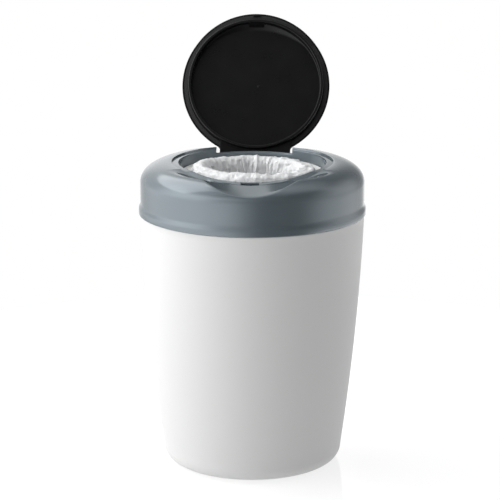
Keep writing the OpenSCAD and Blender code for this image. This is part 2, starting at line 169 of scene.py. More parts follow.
# %% Steel finish
def drawn_steel(name, colour, roughness, stretch):
    """Plain steel with fine drawing lines; stretch is the size of a line along X, Y and Z in mm."""
    material = bpy.data.materials.new(name)
    material.use_nodes = True
    tree = material.node_tree
    shader = tree.nodes["Principled BSDF"]
    shader.inputs["Metallic"].default_value = 1.0
    shader.inputs["Base Color"].default_value = linear(colour)
    place = add(tree, "ShaderNodeTexCoord").outputs["Object"]
    lines = add(tree, "ShaderNodeMapping",
                sockets={"Vector": place, "Scale": [1 / (s * MM) for s in stretch]})
    streak = add(tree, "ShaderNodeTexNoise",
                 sockets={"Vector": lines.outputs[0], "Scale": 1.0, "Detail": 3.0})
    add(tree, "ShaderNodeMapRange", shader.inputs["Roughness"],
        {"Value": streak.outputs["Fac"], "To Min": roughness * 0.6, "To Max": roughness * 1.5})
    add(tree, "ShaderNodeBump", shader.inputs["Normal"],
        {"Height": streak.outputs["Fac"], "Strength": 0.15, "Distance": 0.03 * MM})
    print("material", name, "roughness", roughness)
    return material


pin_steel = drawn_steel("steel_drawn_bright", "#C9CBCE", 0.25, (8, 0.3, 0.3))
screw_steel = drawn_steel("steel_zinc_plated", "#BFC2C6", 0.32, (0.4, 0.4, 2))
blade_steel = drawn_steel("steel_ground_blade", "#CDD0D3", 0.2, (0.2, 5, 5))

# %% [markdown]
# The film is thin white polythene. Light goes through it, so folds that lie in front of light glow
# and folds over a dark hollow look grey. A share of translucent shader does that. The creases that
# are too small for the mesh are a bump, some millimetres wide.

# %% Film finish
CRINKLE_MM = 5


def thin_film(name, colour, roughness, through):
    """Crumpled polythene film; through is the share of light that passes it."""
    material = bpy.data.materials.new(name)
    material.use_nodes = True
    tree = material.node_tree
    shader = tree.nodes["Principled BSDF"]
    shader.inputs["Base Color"].default_value = linear(colour)
    shader.inputs["Roughness"].default_value = roughness
    shader.inputs["IOR"].default_value = 1.5
    place = add(tree, "ShaderNodeTexCoord").outputs["Object"]
    crinkle = add(tree, "ShaderNodeTexNoise",
                  sockets={"Vector": place, "Scale": 1 / (CRINKLE_MM * MM), "Detail": 5.0, "Roughness": 0.65})
    bump = add(tree, "ShaderNodeBump", shader.inputs["Normal"],
               {"Height": crinkle.outputs["Fac"], "Strength": 0.8, "Distance": 1.2 * MM})
    glow = add(tree, "ShaderNodeBsdfTranslucent",
               sockets={"Color": linear(colour), "Normal": bump.outputs[0]})
    add(tree, "ShaderNodeMixShader", tree.nodes["Material Output"].inputs["Surface"],
        {0: through, 1: shader.outputs[0], 2: glow.outputs[0]})
    print("material", name, "passes", through)
    return material


film_white = thin_film("polythene_film_white", "#DCDDDE", 0.4, 0.1)

# %% [markdown]
# ## Making meshes
# Sizes are written in millimetres, as on a drawing, and turned to metres when a mesh is made. Each
# piece gets smooth shading with sharp edges where the surface really turns a corner.

# %% Piece helpers
def tidy(mesh, sharp):
    """Merges doubles, turns the normals outwards and marks the sharp edges."""
    work = bmesh.new()
    work.from_mesh(mesh)
    bmesh.ops.remove_doubles(work, verts=work.verts, dist=1e-6)
    bmesh.ops.recalc_face_normals(work, faces=work.faces)
    work.to_mesh(mesh)
    work.free()
    mesh.shade_smooth()
    mesh.set_sharp_from_angle(angle=radians(sharp))
    print(mesh.name, "faces", len(mesh.polygons))


def make_piece(name, points_mm, faces, material, sharp=32):
    """A mesh object from points in millimetres, shaded smooth with its corners kept sharp."""
    mesh = bpy.data.meshes.new(name)
    mesh.from_pydata((np.asarray(points_mm, float) * MM).tolist(), [], faces)
    mesh.materials.append(material)
    piece = bpy.data.objects.new(name, mesh)
    bpy.context.scene.collection.objects.link(piece)
    tidy(mesh, sharp)
    return piece


def finish_piece(piece, body, slot, *replaced):
    """Lets a piece ride on a body and hides the frame nodes that it stands for. The slot, a name for its
    finish, is not used.
    """
    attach(piece, body)
    if replaced:
        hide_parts(*replaced)
    return piece


def rounded(corners, steps=6):
    """A profile of (r, z, fillet) corners with each fillet drawn as an arc."""
    out = []
    for i, (r, z, fillet) in enumerate(corners):
        here = np.array([r, z], float)
        if not fillet or i in (0, len(corners) - 1):
            out.append((r, z))
            continue
        a = np.array(corners[i - 1][:2], float) - here
        b = np.array(corners[i + 1][:2], float) - here
        a_len, b_len = np.linalg.norm(a), np.linalg.norm(b)
        a, b = a / a_len, b / b_len
        half = np.arccos(np.clip(a @ b, -1, 1)) / 2
        reach = min(fillet / np.tan(half), 0.49 * a_len, 0.49 * b_len)
        for k in range(steps + 1):
            t = k / steps
            out.append(tuple(here + a * reach * (1 - t) ** 2 + b * reach * t ** 2))
    return out


# %% [markdown]
# ## The lathe
# The tub, the cassette's cover and the lid's gate mark are turned shapes: one profile that goes round
# an axis. Screw or Spin could make them, but a small node tree does it with the profile and the number
# of steps as inputs, so one tree makes every turned piece. A flat grid is laid out with one column
# for each step and one row for each profile point. Each vertex then looks up its radius and height
# on the profile and is moved to its place on the circle.

# %% Geometry Nodes lathe
def lathe_tree():
    """The node tree: profile points in, turned shell out."""
    tree = bpy.data.node_groups.new("lathe", "GeometryNodeTree")
    face = tree.interface
    face.new_socket("Profile", in_out="INPUT", socket_type="NodeSocketGeometry")
    face.new_socket("Steps round", in_out="INPUT", socket_type="NodeSocketInt")
    face.new_socket("Profile points", in_out="INPUT", socket_type="NodeSocketInt")
    face.new_socket("Finish", in_out="INPUT", socket_type="NodeSocketMaterial")
    face.new_socket("Shell", in_out="OUTPUT", socket_type="NodeSocketGeometry")
    given = add(tree, "NodeGroupInput")
    steps, count = given.outputs["Steps round"], given.outputs["Profile points"]
    grid = add(tree, "GeometryNodeMeshGrid",
               sockets={"Vertices X": calc(tree, "ADD", steps, 1.0), "Vertices Y": count})
    index = add(tree, "GeometryNodeInputIndex").outputs[0]
    column = calc(tree, "FLOOR", calc(tree, "DIVIDE", index, count))
    row = calc(tree, "MODULO", index, count)
    spot = add(tree, "GeometryNodeInputPosition").outputs[0]
    look = add(tree, "GeometryNodeSampleIndex", data_type="FLOAT_VECTOR", clamp=True,
               sockets={"Geometry": given.outputs["Profile"], "Value": spot, "Index": row})
    point = add(tree, "ShaderNodeSeparateXYZ", sockets={"Vector": look.outputs[0]})
    radius = point.outputs["X"]
    angle = calc(tree, "MULTIPLY", calc(tree, "DIVIDE", column, steps), 2 * pi)
    place = add(tree, "ShaderNodeCombineXYZ",
                sockets={"X": calc(tree, "MULTIPLY", radius, calc(tree, "COSINE", angle)),
                         "Y": calc(tree, "MULTIPLY", radius, calc(tree, "SINE", angle)),
                         "Z": point.outputs["Z"]})
    moved = add(tree, "GeometryNodeSetPosition",
                sockets={"Geometry": grid.outputs["Mesh"], "Position": place.outputs[0]})
    closed = add(tree, "GeometryNodeMergeByDistance",
                 sockets={"Geometry": moved.outputs[0], "Distance": 1e-6})
    real = add(tree, "GeometryNodeRealizeInstances", sockets={"Geometry": closed.outputs[0]})
    painted = add(tree, "GeometryNodeSetMaterial",
                  sockets={"Geometry": real.outputs[0], "Material": given.outputs["Finish"]})
    out = add(tree, "NodeGroupOutput")
    tree.links.new(painted.outputs[0], out.inputs["Shell"])
    return tree


LATHE = lathe_tree()
print("lathe tree nodes:", len(LATHE.nodes))

# %% Turn a profile
def run_tree(seed, tree, values, name, sharp=32):
    """Runs a node tree on a seed mesh and keeps the result as a plain mesh object."""
    source = bpy.data.objects.new(name + "_seed", seed)
    bpy.context.scene.collection.objects.link(source)
    modifier = source.modifiers.new(tree.name, "NODES")
    modifier.node_group = tree
    sockets = {s.name: s.identifier for s in tree.interface.items_tree if s.in_out == "INPUT"}
    for key, value in values.items():
        modifier[sockets[key]] = value
    bpy.context.view_layer.update()
    depsgraph = bpy.context.evaluated_depsgraph_get()
    mesh = bpy.data.meshes.new_from_object(source.evaluated_get(depsgraph), depsgraph=depsgraph)
    mesh.name = name
    bpy.data.objects.remove(source)
    piece = bpy.data.objects.new(name, mesh)
    bpy.context.scene.collection.objects.link(piece)
    tidy(mesh, sharp)
    return piece


def turned(name, profile_mm, material, steps=240, sharp=32):
    """A turned shell from a closed profile of (r, z) points in millimetres."""
    seed = bpy.data.meshes.new(name + "_profile")
    seed.from_pydata([(r * MM, 0, z * MM) for r, z in profile_mm], [], [])
    values = {"Steps round": steps, "Profile points": len(profile_mm), "Finish": material}
    return run_tree(seed, LATHE, values, name, sharp)


# %% [markdown]
# ## The tub
# The tub is one moulding with a bulged side: a straight cone plus a curve that is fullest at mid
# height. It stands flat, with one shallow groove in its underside, and has a large rounded corner at
# its foot. Its neck steps in at the top so that the head slides over it. The outer side, the neck,
# the inner side and the floor are one closed profile.

# %% Tub profile and piece
TUB_H = 300
TUB_BASE_R = 103
TUB_TOP_R = 131.1
TUB_BULGE = 4
TUB_WALL = 2.5
TUB_CORNER_R = 18
TUB_FLOOR = 3


def tub_r(z):
    """Outer radius of the tub's side at height z."""
    return TUB_BASE_R + (TUB_TOP_R - TUB_BASE_R) * z / TUB_H + 4 * TUB_BULGE * z / TUB_H * (1 - z / TUB_H)


def tub_side(inset, top):
    """The rounded corner and the bulged side, set in by a wall."""
    centre, r = tub_r(TUB_CORNER_R) - TUB_CORNER_R, TUB_CORNER_R - inset
    corner = [(centre + r * cos(radians(a)), TUB_CORNER_R + r * sin(radians(a)))
              for a in np.linspace(-90, 0, 19)]
    side = [(tub_r(z) - inset, z) for z in np.linspace(TUB_CORNER_R, top, 41)[1:]]
    return corner + side


underside = [(0, 0), (73.7, 0), (74, 0.3), (74, 1), (79, 1), (79, 0.3), (79.3, 0)]
lip = rounded([(131.1, 298.2, 0), (131.1, 299.7, 0.5), (128.2, 299.7, 0.4), (128.2, 321.7, 0.6),
               (125.7, 321.7, 0.6), (125.7, 292, 2), (tub_r(286) - TUB_WALL, 286, 0)], 4)
inner = [p for p in tub_side(TUB_WALL, 285) if p[1] > TUB_FLOOR + 0.3][::-1]
floor_inside = [(inner[-1][0] - 3, TUB_FLOOR), (0, TUB_FLOOR)]
tub_profile = underside + tub_side(0, 298) + lip + inner + floor_inside
tub = turned("tub_shell", tub_profile, satin_white, 256)
finish_piece(tub, "base", "tub_plastic", "tub")

# %% [markdown]
# ## The head
# The head is the hardest shape on the bin. From above it is a ring with a rounded shoulder. A ledge
# runs round the opening and falls a little outwards, and the shoulder ends above it in a small step.
# At the front the ledge dips, the shoulder follows it, and a finger scoop is hollowed out. At the back a
# pocket takes the hinge. A subdivision cage could hold all this, but the sizes are known, so the
# head is one closed net of rows and columns: each row is a ring at a known place on the profile, and
# each column's height comes from a function of where it stands. Columns are bent so that some lie
# exactly along the straight sides of the slot and the hinge pocket.

# %% Head sizes
CROWN_Z = 360.5
LEDGE_Z = 359.3
OPENING_R = 86
LEDGE_R = 94
COLLAR_R = 131
COLLAR_WALL = 2.4
FLARE = 2
SHOULDER_DROP = 24
SHOULDER_Z = CROWN_Z - SHOULDER_DROP
SHOULDER_POWER = 2.12
BACK_FALL = 0.5
HINGE_FALL = 1.9
DOME_RISE = 18
DIP_Z = 353.4
DIP_SLOPE = tan(radians(10.5))
SCOOP_R = 150
SCOOP_FLAT = 0.23
SCOOP_DEEPER = 0.0285
POCKET_X = 45.5
POCKET_Z = 337.5
NOTCH_Z = 354.5
SLOT_X = 10
SLOT_Z = 345.5
SLOT_UNDER = SLOT_Z - 0.8
POCKET_UNDER = POCKET_Z - COLLAR_WALL
COLUMNS = 600


def smooth(t):
    """A ramp from 0 to 1 with a soft start and end."""
    t = np.clip(t, 0, 1)
    return t * t * (3 - 2 * t)


def soft_min(a, b, k):
    """The lower of two heights, blended over a band k wide."""
    h = np.clip(0.5 + 0.5 * (a - b) / k, 0, 1)
    return a * (1 - h) + b * h - k * h * (1 - h)


def dip(y):
    """Height of the sloping plane that the front of the ledge follows."""
    return DIP_Z + DIP_SLOPE * (y + OPENING_R)


def shoulder_height(r, inset=0.0):
    """Height of the plain round shoulder, set in by a wall."""
    width = COLLAR_R - inset - LEDGE_R
    s = np.clip((r - LEDGE_R) / width, 0, 1)
    return SHOULDER_Z - inset + SHOULDER_DROP * (1 - s ** SHOULDER_POWER) ** (1 / SHOULDER_POWER)


# %% [markdown]
# The top is the lower of two surfaces. One is the shoulder, pulled down near the opening so that it
# starts beside the dipping ledge and rises from there. The other is the scoop, flat along the slope
# and hollowed sideways, flatter at the ledge than further out. A soft minimum blends them: the blend
# is wide in the middle of the scoop, where a finger goes in, and tight at its two ends.

# %% Head surface
def ledge_height(x, y):
    """Height of the ledge at the opening."""
    return soft_min(LEDGE_Z, dip(y), 0.5)


def scoop_bow(x):
    """Rise of the scoop's round hollow, sideways from its middle."""
    side = np.minimum(np.abs(x), SCOOP_R - 1)
    return SCOOP_R - np.sqrt(SCOOP_R ** 2 - side ** 2)


def ledge_fall(x, y, r):
    """How far the ledge has sloped down outwards at radius r: most at the front quarters."""
    whole = 0.6 + 1.2 * (1 - smooth((y + 70) / 50))
    clear = np.where(y < 0, smooth((np.abs(x) - 41) / 9), 1)
    return whole * clear * np.clip((r - 86.8) / 6.8, 0, 1)


def head_top(x, y, r, inset=0.0):
    """Height of the head's outer skin outside the ledge."""
    plain = shoulder_height(r, inset)
    start = dip(y) + 0.4 + 0.8 * smooth((y + 75) / 25)
    start = start - 1.8 * smooth((np.abs(x) - 41) / 9) * (1 - smooth((y + 70) / 50))
    pull = np.maximum(0, CROWN_Z - start) * (1 - smooth((r - LEDGE_R) / DOME_RISE))
    by_hinge = smooth((y - 72) / 14) * smooth((74 - np.abs(x)) / 30) * smooth((r - 93.5) / 6)
    dome = plain - pull - HINGE_FALL * by_hinge - BACK_FALL * smooth((y + 20) / 60) * smooth((r - 96) / 8)
    hollow = np.clip(SCOOP_FLAT + SCOOP_DEEPER * (r - LEDGE_R), 0, 1)
    scoop = np.where(y < 0, dip(y) - inset + scoop_bow(x) * hollow, 999)
    return soft_min(dome, scoop, 0.25 + 2.2 * np.exp(-(x / 18) ** 2) * smooth((r - 112) / 12))


# %% Bent columns
EVEN = np.arange(COLUMNS) * 360 / COLUMNS
FOLD = np.where(EVEN <= 180, EVEN, 360 - EVEN)


def column_angles(r, slot_x, pocket_x):
    """Angle of each column on the ring of radius r, 0 at the front, bent along the straight sides."""
    slot_keys = [(6.0, slot_x), (6.6, slot_x + 0.12), (7.2, slot_x + 0.5)]
    pocket_keys = [(154.2, pocket_x + 0.6), (154.8, pocket_x + 0.15), (155.4, pocket_x)]
    base = [0] + [k for k, _ in slot_keys] + [k for k, _ in pocket_keys] + [180]
    bent = ([0] + [degrees(np.arcsin(x / r)) for _, x in slot_keys]
            + [180 - degrees(np.arcsin(x / r)) for _, x in pocket_keys] + [180])
    return np.radians(np.interp(FOLD, base, bent)) * np.where(EVEN <= 180, 1, -1)


in_slot = FOLD < 6.3
slot_edge = np.abs(FOLD - 6.6) < 0.1
in_pocket = FOLD > 155.1
pocket_edge = np.abs(FOLD - 154.8) < 0.1
print("columns in the slot", in_slot.sum(), "and in the hinge pocket", in_pocket.sum())

# %% [markdown]
# The rows go up the wall of the opening, over the ledge and the step, down the shoulder and the
# upright wall to the flared lip, and back up inside. The back half of the opening's wall has draft,
# so that its mould can be drawn. A row near the slot is straightened, so that the slot's two long
# sides are straight too.

# %% Head rows
rows = []


def add_row(r, height, slot_x=SLOT_X, pocket_x=POCKET_X, straight=False):
    """One ring of the head: its radius and a function of x, y and r for its height."""
    a = column_angles(r, slot_x, pocket_x)
    ring_r = np.full(COLUMNS, float(r))
    if straight:
        near = 1 - smooth((np.abs(np.degrees(a)) - 7.5) / 9)
        ring_r = r * (1 + near * (1 / np.cos(np.where(np.abs(a) < 0.4, a, 0)) - 1))
    x, y = ring_r * np.sin(a), -ring_r * np.cos(a)
    z = height(x, y, ring_r) if callable(height) else np.full(COLUMNS, float(height))
    rows.append(np.stack([x, y, np.broadcast_to(z, x.shape)], 1))


def opening_edge(fall):
    """Height on the rim of the opening, fall below the ledge or below the notch at the back."""
    def height(x, y, r):
        z = ledge_height(x, y) - fall
        z = np.where(in_pocket, np.minimum(z, NOTCH_Z - fall), z)
        return np.where(pocket_edge, np.minimum(z, NOTCH_Z + 2), z)
    return height


def ledge_row(slot_part, pocket_part, r):
    """Height on the ledge and the shoulder, with the slot and the pocket sunk into it."""
    def height(x, y, ring_r):
        fall = ledge_fall(x, y, ring_r)
        if r <= 93.75:
            flank = np.clip(SCOOP_FLAT * (r - 92.8) / 1.2, 0, SCOOP_FLAT) * scoop_bow(x)
            flank = np.where((y < 0) & (np.abs(x) < 46), flank * smooth((46 - np.abs(x)) / 6), 0)
            z = ledge_height(x, y) - fall + flank
        elif r < 94.3:
            low, high = ledge_height(x, y) - fall, head_top(x, y, np.full_like(x, 94.4))
            z = low + np.maximum(high - low, 0) * (r - 93.75) / 0.55
        else:
            z = head_top(x, y, ring_r)
        if slot_part == 1:
            z = np.where(slot_edge, z - 0.25, np.where(in_slot, SLOT_Z, z))
        elif slot_part == 0.5:
            z = np.where(in_slot | slot_edge, z - 0.25, z)
        if pocket_part == 1:
            z = np.where(in_pocket, POCKET_Z, np.where(pocket_edge, z - 0.35, z))
            z = np.where(in_pocket | pocket_edge, np.minimum(z, shoulder_height(ring_r)), z)
        elif pocket_part == 0.5:
            z = np.where(in_pocket, np.minimum(z, NOTCH_Z), np.where(pocket_edge, z - 0.35, z))
        return z
    return height


for z, inset in ((328, 1.3), (334, 1.3), (340, 1.3), (346, 1.3), (349.5, 0.9), (353, 0.45)):
    add_row(OPENING_R, lambda x, y, r: np.minimum(z, opening_edge(1.6)(x, y, r)))
    rows[-1][:, :2] *= 1 - inset / OPENING_R * smooth((rows[-1][:, 1:2] + 10) / 50)
for out, fall in ((0, 1.2), (0, 0.6), (0.12, 0.25), (0.35, 0.06), (0.7, 0)):
    add_row(OPENING_R + out, opening_edge(fall))
for r in (87.2, 87.9):
    add_row(r, ledge_row(0, 0.5, r), straight=True)
add_row(88.3, ledge_row(0.5, 0.5, 88.3), straight=True)
for r in (88.5, 88.7, 90, 91.5, 92.8, 93.4, 93.75, 93.95, 94.15, 94.4, 94.8):
    add_row(r, ledge_row(1, 1, r), straight=True)
add_row(95.0, ledge_row(1, 1, 95.0), straight=True)
add_row(95.2, ledge_row(0.5, 1, 95.2), straight=True)
for r in (95.6, 96.3, 97.1, *range(98, 109), 109.1, 110.5, 112, 113.5, 115, 116.4, 117.8, 119.1, 120.3,
          121.4, 122.4, 123.4, 124.3, 125.2, 126, 126.8, 127.5, 128.1, 128.7, 129.2, 129.65, 130.05, 130.35,
          130.6, 130.8, 130.93):
    add_row(r, ledge_row(0, 1, r))
for z in (336.5, 331, 325, 320, 316.5):
    add_row(COLLAR_R, z)
for k in np.linspace(0, 1, 13):
    add_row(COLLAR_R + FLARE * k ** 3 * (k * (6 * k - 15) + 10), 313.2 - 8.4 * k)
for r, z in ((133, 303), (133, 300.8), (132.9, 300.3), (132.5, 300), (129, 300), (128.6, 300.4), (128.6, 312),
             (128.6, 324.9), (128.4, 325), (120.8, 325), (120.6, 325.2), (120.6, 326.8), (120.8, 327),
             (128.4, 327), (128.6, 327.2)):
    add_row(r, z)
print("rows on the outside so far:", len(rows))

# %% Head underside and mesh
def under(r):
    """Height of the inner skin, one wall below the outer one."""
    def height(x, y, ring_r):
        z = head_top(x, y, ring_r, COLLAR_WALL) if r > 94.3 else ledge_height(x, y) - COLLAR_WALL
        z = np.where(in_pocket, np.minimum(z, POCKET_UNDER), z)
        if 88 <= r <= 95.5:
            z = np.where(in_slot, SLOT_UNDER, z)
        return z
    return height


def under_ledge(x, y, r):
    """Height of the inner skin where it meets the inner side of the opening's wall."""
    z = np.where(in_pocket, POCKET_UNDER, ledge_height(x, y) - COLLAR_WALL)
    return np.where(in_slot, SLOT_UNDER, z)


slot_sides, pocket_sides = SLOT_X + 0.15, POCKET_X + COLLAR_WALL
for r in (128.55, 128.3, 127.8, 127, 126, 124.6, 123, 121, 118.5, 116, 113, 110, 107, 104, 101, 98.5, 96.5):
    add_row(r, under(r), pocket_x=pocket_sides)
for r in (95.45, 95.2, 93, 91, 88.6):
    add_row(r, under(r), slot_x=slot_sides, pocket_x=pocket_sides, straight=True)
add_row(88.4, under_ledge, slot_x=slot_sides, pocket_x=pocket_sides)
for z in (340, 332, 328):
    add_row(88.4, lambda x, y, r: np.where(in_pocket | in_slot, np.minimum(z, POCKET_UNDER - 1), z),
            pocket_x=pocket_sides)


def net(rings, closed_rows):
    """Points and faces of a net whose rings are closed, and whose rows may close as well."""
    count, width = len(rings), len(rings[0])
    points = np.concatenate(rings)
    faces = []
    for i in range(count if closed_rows else count - 1):
        a, b = i * width, (i + 1) % count * width
        faces += [(a + j, a + (j + 1) % width, b + (j + 1) % width, b + j) for j in range(width)]
    return points, faces


head_points, head_faces = net(rows, True)
head = make_piece("head_collar", head_points, head_faces, slate_gloss, 40)
finish_piece(head, "head", "head_plastic", "collar")

# %% [markdown]
# ## The lid
# The lid is drawn shut and then swung back, because its sizes are simplest in that place. It is a
# round plate with a low crown. Below it a plug rib enters the opening, a groove holds the seal, and
# the inner face is flat with a sloping crescent at the front. It is a net of rings too: over the
# crown, round the edge, in along the flange with its groove, down and up the rib, and in to the middle.

# %% Lid sizes and the swing
LID_Y = -3
LID_R = 90
EDGE_R = 2.2
EDGE_IN = LID_R - EDGE_R
RIB_EDGE_R = 0.9
RIB_R = 82.3
RIB_IN = 78.8
RIB_LOW = 349
LID_Z = 359.7
LID_TOP = 363.7
LID_EDGE = 362.1
HINGE_Y = 93
HINGE_Z = 345
SWING = radians(117.4)
LID_COLUMNS = 480
CRESCENT_BACK = 26.2
CRESCENT_R = 97.7
CRESCENT_RUN = 1.6


def swing(points_mm):
    """Turns points of the shut lid back about the hinge axis to the open stop."""
    p = np.asarray(points_mm, float).copy()
    y, z = p[:, 1] - HINGE_Y, p[:, 2] - HINGE_Z
    p[:, 1] = HINGE_Y + y * cos(SWING) + z * sin(SWING)
    p[:, 2] = HINGE_Z - y * sin(SWING) + z * cos(SWING)
    return p


lid_angle = np.arange(LID_COLUMNS) * 2 * pi / LID_COLUMNS
print("lid reaches", round(float(swing([[0, LID_Y - LID_R, LID_EDGE]])[0, 2]), 1), "mm when open")

# %% Lid surface
def rim_face(x, y):
    """Underside of the lid's flange, which follows the ledge."""
    return np.minimum(LID_Z, dip(y) + 0.4)


def lid_outside(x, y, r):
    """Upper side of the lid."""
    crown = LID_TOP - (LID_TOP - LID_EDGE) * (r / EDGE_IN) ** 2
    return soft_min(crown, dip(y) + 6.6, 1.2)


def inner_face(x, y):
    """Flat inner face that slopes down towards the rib at the front."""
    reach = np.hypot(x, y - (LID_Y + CRESCENT_BACK)) - CRESCENT_R
    fall = np.where(reach > 1, reach, np.maximum(0, reach + 1) ** 2 / 4)
    return LID_Z - fall / CRESCENT_RUN


def lid_ring(r, height):
    """One ring of the lid: its radius and a number or a function of x and y for its height."""
    x = r * np.sin(lid_angle)
    y = LID_Y - r * np.cos(lid_angle)
    z = height(x, y) if callable(height) else np.full(LID_COLUMNS, float(height))
    return np.stack([x, y, z], 1)


def above(surface, rise):
    """A surface moved up or down by a distance."""
    return lambda x, y: surface(x, y) + rise


def rib_edge(x, y):
    """The rounded inner edge of the rib, never above the inner face."""
    return np.minimum(RIB_LOW + RIB_EDGE_R * (1 - cos(a)), inner_face(x, y))


crown_r = (0.5, 4, 10, 18, 26, 34, 42, 50, 58, 65, 71, 76, 80, 83, 85.5, 87)
lid_rows = [lid_ring(r, lambda x, y: lid_outside(x, y, r)) for r in crown_r]
for a in np.linspace(0.2, pi / 2, 8):
    r, edge_fall = LID_R - EDGE_R * (1 - sin(a)), EDGE_R * (1 - cos(a))
    lid_rows.append(lid_ring(r, lambda x, y: lid_outside(x, y, EDGE_IN) - edge_fall))
for r, rise in ((LID_R, 0.15), (89.85, 0), (88.1, 0), (88, 0), (87.95, 1.2), (83.1, 1.2), (83.05, 0),
                (82.7, 0), (82.4, -0.3), (RIB_R, -0.8)):
    lid_rows.append(lid_ring(r, above(rim_face, rise)))
lid_rows.append(lid_ring(RIB_R, 350.2))
for a in np.linspace(0, pi / 2, 6):
    lid_rows.append(lid_ring(RIB_R - RIB_EDGE_R * (1 - cos(a)), RIB_LOW + RIB_EDGE_R * (1 - sin(a))))
for a in np.linspace(0, pi / 2, 6):
    lid_rows.append(lid_ring(RIB_IN + RIB_EDGE_R * (1 - sin(a)), rib_edge))
for r, rise in ((RIB_IN, -0.8), (78.6, -0.3)):
    lid_rows.append(lid_ring(r, above(inner_face, rise)))
for r in (78, 77.4, 76.6, 75.8, 75, 74.2, 73.4, 72.6, 71.8, 71, 70, 68.5, 66, 62, 56, 48, 40, 30, 20, 10, 3):
    lid_rows.append(lid_ring(r, inner_face))
points, faces = net(lid_rows, False)
top_pole, low_pole = len(points), len(points) + 1
points = np.concatenate([points, [[0, LID_Y, LID_TOP], [0, LID_Y, LID_Z]]])
last = (len(lid_rows) - 1) * LID_COLUMNS
faces += [(top_pole, (j + 1) % LID_COLUMNS, j) for j in range(LID_COLUMNS)]
faces += [(low_pole, last + j, last + (j + 1) % LID_COLUMNS) for j in range(LID_COLUMNS)]
lid = make_piece("lid_plate", swing(points), faces, black_gloss, 40)
finish_piece(lid, "lid", "lid_plastic", "lid")

# %% [markdown]
# The tab, the two hinge arms and the latch hook grow out of the plate. The hook is a tongue below
# the flange, and a wedge behind it stiffens the rib. Each is a flat outline with some thickness, so
# one helper makes a slab from an outline, and a Bevel modifier rounds its edges as a mould would.

# %% Slabs for the tab, arms and hook
def slab(outline, low, high, axis=2):
    """Closed slab of an outline between two heights along an axis, as points and faces."""
    count = len(outline)
    points = [(a, b, h) if axis == 2 else (h, a, b) for h in (low, high) for a, b in outline]
    faces = [tuple(range(count))[::-1], tuple(range(count, 2 * count))]
    faces += [(i, (i + 1) % count, count + (i + 1) % count, count + i) for i in range(count)]
    return points, faces


def join(parts):
    """Several slabs as one list of points and faces."""
    points, faces = [], []
    for p, f in parts:
        faces += [tuple(i + len(points) for i in face) for face in f]
        points += list(p)
    return points, faces


def arc(centre, r, start, end, steps=10):
    """Points on an arc, angles in degrees."""
    turns = np.radians(np.linspace(start, end, steps))
    return [(centre[0] + r * cos(a), centre[1] + r * sin(a)) for a in turns]


TAB_X = 42.7
TAB_BACK = 88.4
TAB_IN = 80.5
ARM_W = 14.7
KNUCKLE_R = 6.5
FILLET_R = 5.0
inner_arc = [(x, LID_Y + sqrt(TAB_IN ** 2 - x ** 2)) for x in np.linspace(TAB_X, -TAB_X, 15)]
tab = slab([(-TAB_X, TAB_BACK), (TAB_X, TAB_BACK)] + inner_arc, 355.1, 362.1)
fillet_y = LID_Y + sqrt((LID_R + FILLET_R) ** 2 - (TAB_X + FILLET_R) ** 2)
meet = degrees(atan2(LID_Y - fillet_y, -(TAB_X + FILLET_R)))
webs = []
for side in (-1, 1):
    bow = arc((TAB_X + FILLET_R, fillet_y), FILLET_R, 180, 360 + meet, 8)
    outline = [(side * x, y) for x, y in bow + [(TAB_X - 2, 70), (TAB_X - 2, fillet_y)]]
    webs.append(slab(outline if side > 0 else outline[::-1], 359.75, 362.05))
print("tab", 2 * TAB_X, "mm wide, fillet centre at", round(fillet_y, 1))

# %% Arms, hook and their piece
knuckle = arc((HINGE_Y, HINGE_Z), KNUCKLE_R, -190, 25, 22)
arm_outline = knuckle + [(TAB_BACK, 360.7), (86.0, 355.5)]
arms = [slab(arm_outline, x, x + ARM_W, axis=0) for x in (-TAB_X, TAB_X - ARM_W)]
wedge = [(-83.4, 350.0), (-82.6, 349.9), (-77.6, 357.0), (-77.0, 359.3), (-83.4, 359.3)]
pad = slab(wedge, -9.5, 9.5, axis=0)
tongue = slab([(-4.5, -91.2), (4.5, -91.2), (4.5, -88.9), (-4.5, -88.9)], 349.6, 357.4)
points, faces = join([tab] + webs + arms + [pad, tongue])
fittings = make_piece("lid_tab_and_hook", swing(points), faces, black_gloss, 30)
round_edges = fittings.modifiers.new("moulded_edges", "BEVEL")
round_edges.width = 0.6 * MM
round_edges.segments = 3
round_edges.limit_method = "ANGLE"
round_edges.angle_limit = radians(40)
finish_piece(fittings, "lid", "lid_plastic")

# %% [markdown]
# A gate mark is the small round scar where the plastic entered the mould. It sits off the middle of
# the inner face.

# %% Gate mark
MARK_PLACE = [3.5, -2, LID_Z]
mark_profile = [(0, 0.35), (1.1, 0.35), (1.5, 0.1), (1.7, -0.2), (0, -0.2)]
mark = turned("lid_gate_mark", mark_profile, black_gloss, 32)
mark_points = np.array([v.co[:] for v in mark.data.vertices]) / MM
mark_points = swing(mark_points * [1, 1, -1] + MARK_PLACE)
mark.data.vertices.foreach_set("co", (mark_points * MM).ravel())
tidy(mark.data, 40)
finish_piece(mark, "lid", "lid_plastic")

# %% [markdown]
# ## The cassette
# The refill is a deep ring-shaped box. Its cover is a thin ring with a rib below that holds it in the
# outer wall, and the film comes up between its inner edge and the core.

# %% Cassette cover
cover_corners = [
    (65.4, 346.4, 0), (65.9, 345.9, 0), (80.4, 345.9, 0), (80.4, 341.9, 0.3), (82.1, 341.9, 0.3),
    (82.1, 345.9, 0), (83.7, 345.9, 0.3), (84, 346.4, 0), (84, 347.1, 0.3), (83.6, 347.5, 0.2),
    (66.2, 347.5, 0.4), (65.4, 347.1, 0.3), (65.4, 346.4, 0)]
cover_profile = rounded(cover_corners, 4)
cover = turned("cassette_lid", cover_profile, matt_white)
finish_piece(cover, "cassette", "cassette_plastic", "cassette_cover")

